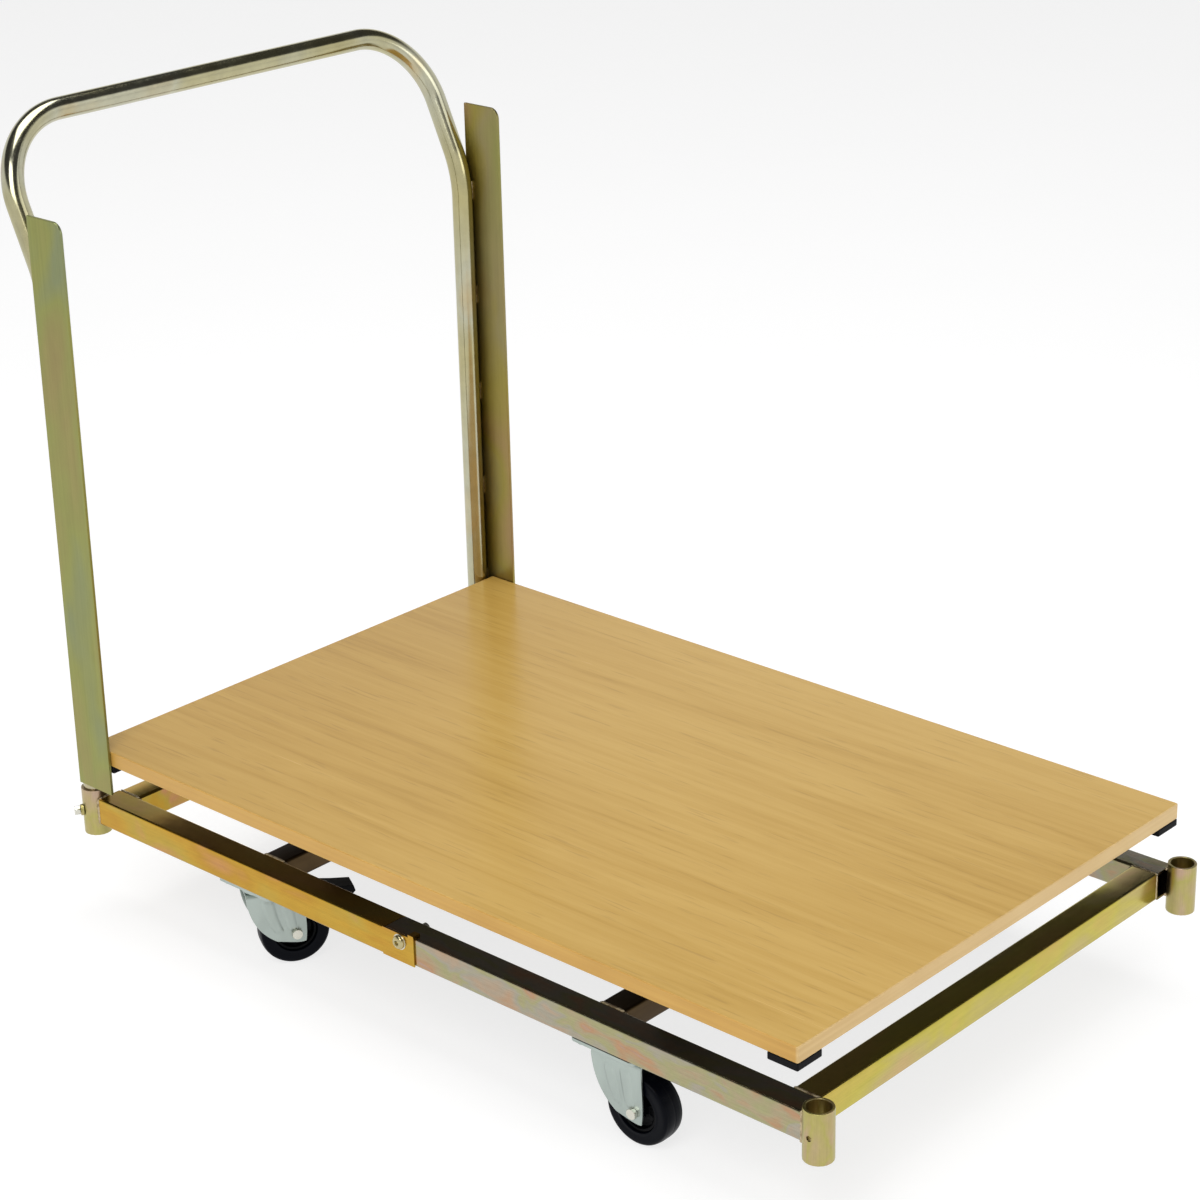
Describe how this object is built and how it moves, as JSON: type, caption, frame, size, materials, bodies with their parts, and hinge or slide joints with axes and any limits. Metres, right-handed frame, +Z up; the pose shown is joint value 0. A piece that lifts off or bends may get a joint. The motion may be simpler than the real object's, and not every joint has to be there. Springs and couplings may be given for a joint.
{
  "type": "folding platform cart",
  "caption": "Platform cart with a wooden deck on a steel tube frame in two hinged halves, swivel casters, brake pedals and a lift-out push handle.",
  "frame": {"origin": "on the floor under the middle of the cart's bounding box", "axes": "+X towards the open front end, away from the handle; +Y across the cart to its left side; +Z up"},
  "size_m": [1.2474, 0.7292, 0.9885],
  "materials": {
    "passivated_steel": "yellow passivated zinc, satin, with iridescent patches",
    "socket_steel": "yellow passivated zinc, satin",
    "wing_steel": "olive passivated zinc, satin",
    "handle_steel": "passivated zinc, smooth",
    "bolts": "zinc plated",
    "zinc_steel": "pale zinc plated pressed steel",
    "beech": "lacquered beech laminate",
    "batten_wood": "plain wood",
    "tyre": "black rubber",
    "pad_rubber": "black rubber",
    "black_plastic": "black plastic"
  },
  "bodies": {
    "rear_frame": {"rear_side_rail_near": "passivated_steel", "rear_side_rail_far": "passivated_steel", "rear_socket_near": "socket_steel", "rear_socket_far": "socket_steel", "rear_end_rail": "passivated_steel", "rear_cross_member": "passivated_steel", "hinge_bolt_near": "bolts", "hinge_bolt_far": "bolts", "hinge_nut_near": "bolts", "hinge_nut_far": "bolts", "caster_plate_rear_near": "zinc_steel", "caster_plate_rear_far": "zinc_steel"},
    "front_frame": {"front_side_rail_near": "passivated_steel", "front_side_rail_far": "passivated_steel", "front_socket_near": "socket_steel", "front_socket_far": "socket_steel", "front_end_rail": "passivated_steel", "front_cross_member": "passivated_steel", "caster_plate_front_near": "zinc_steel", "caster_plate_front_far": "zinc_steel"},
    "handle": {"handle_tube": "handle_steel", "wing_plate_near": "wing_steel", "wing_plate_far": "wing_steel"},
    "deck": {"deck_board": "beech", "deck_batten_rear": "batten_wood", "deck_batten_front": "batten_wood", "deck_stay_rear_a": "zinc_steel", "deck_stay_rear_b": "zinc_steel", "deck_stay_front_a": "zinc_steel", "deck_stay_front_b": "zinc_steel", "corner_pad_rear_near": "pad_rubber", "corner_pad_rear_far": "pad_rubber", "corner_pad_front_near": "pad_rubber", "corner_pad_front_far": "pad_rubber"},
    "clamp_screw_near": {"clamp_screw_near": "bolts"},
    "clamp_screw_far": {"clamp_screw_far": "bolts"},
    "caster_rear_near": {"fork_rear_near": "zinc_steel", "axle_bolt_rear_near": "bolts"},
    "wheel_rear_near": {"hub_rear_near": "black_plastic", "tyre_rear_near": "tyre"},
    "pedal_rear_near": {"brake_pedal_rear_near": "black_plastic"},
    "caster_rear_far": {"fork_rear_far": "zinc_steel", "axle_bolt_rear_far": "bolts"},
    "wheel_rear_far": {"hub_rear_far": "black_plastic", "tyre_rear_far": "tyre"},
    "pedal_rear_far": {"brake_pedal_rear_far": "black_plastic"},
    "caster_front_near": {"fork_front_near": "zinc_steel", "axle_bolt_front_near": "bolts"},
    "wheel_front_near": {"hub_front_near": "black_plastic", "tyre_front_near": "tyre"},
    "caster_front_far": {"fork_front_far": "zinc_steel", "axle_bolt_front_far": "bolts"},
    "wheel_front_far": {"hub_front_far": "black_plastic", "tyre_front_far": "tyre"}
  },
  "joints": [
    {"name": "frame_fold", "type": "hinge", "parent": "rear_frame", "child": "front_frame", "pos_m": [0.01775, 0, 0.138], "axis": [0, 1, 0], "range_deg": [0, 100]},
    {"name": "handle_lift", "type": "slide", "parent": "rear_frame", "child": "handle", "axis": [0, 0, 1], "range_m": [0, 0.06]},
    {"name": "deck_lift", "type": "slide", "parent": "rear_frame", "child": "deck", "axis": [0, 0, 1], "range_m": [0, 0.3]},
    {"name": "clamp_screw_near_turn_out", "type": "slide", "parent": "rear_frame", "child": "clamp_screw_near", "axis": [-0.5, -0.866, 0], "range_m": [0, 0.006]},
    {"name": "clamp_screw_far_turn_out", "type": "slide", "parent": "rear_frame", "child": "clamp_screw_far", "axis": [-0.5, 0.866, 0], "range_m": [0, 0.006]},
    {"name": "swivel_rear_near", "type": "hinge", "parent": "rear_frame", "child": "caster_rear_near", "pos_m": [-0.25125, -0.312, 0.1], "axis": [0, 0, 1], "continuous": true},
    {"name": "roll_rear_near", "type": "hinge", "parent": "caster_rear_near", "child": "wheel_rear_near", "pos_m": [-0.23574, -0.28401, 0.0425], "axis": [-0.8746, 0.4848, 0], "continuous": true},
    {"name": "brake_rear_near", "type": "hinge", "parent": "caster_rear_near", "child": "pedal_rear_near", "pos_m": [-0.23331, -0.27964, 0.0932], "axis": [-0.8746, 0.4848, 0], "range_deg": [0, 10]},
    {"name": "swivel_rear_far", "type": "hinge", "parent": "rear_frame", "child": "caster_rear_far", "pos_m": [-0.25125, 0.312, 0.1], "axis": [0, 0, 1], "continuous": true},
    {"name": "roll_rear_far", "type": "hinge", "parent": "caster_rear_far", "child": "wheel_rear_far", "pos_m": [-0.23068, 0.28749, 0.0425], "axis": [0.766, 0.6428, 0], "continuous": true},
    {"name": "brake_rear_far", "type": "hinge", "parent": "caster_rear_far", "child": "pedal_rear_far", "pos_m": [-0.22747, 0.28366, 0.0932], "axis": [0.766, 0.6428, 0], "range_deg": [0, 10]},
    {"name": "swivel_front_near", "type": "hinge", "parent": "front_frame", "child": "caster_front_near", "pos_m": [0.31775, -0.312, 0.1], "axis": [0, 0, 1], "continuous": true},
    {"name": "roll_front_near", "type": "hinge", "parent": "caster_front_near", "child": "wheel_front_near", "pos_m": [0.34973, -0.31088, 0.0425], "axis": [-0.0349, 0.9994, 0], "continuous": true},
    {"name": "swivel_front_far", "type": "hinge", "parent": "front_frame", "child": "caster_front_far", "pos_m": [0.31775, 0.312, 0.1], "axis": [0, 0, 1], "continuous": true},
    {"name": "roll_front_far", "type": "hinge", "parent": "caster_front_far", "child": "wheel_front_far", "pos_m": [0.34944, 0.30755, 0.0425], "axis": [0.1392, 0.9903, 0], "continuous": true}
  ]
}
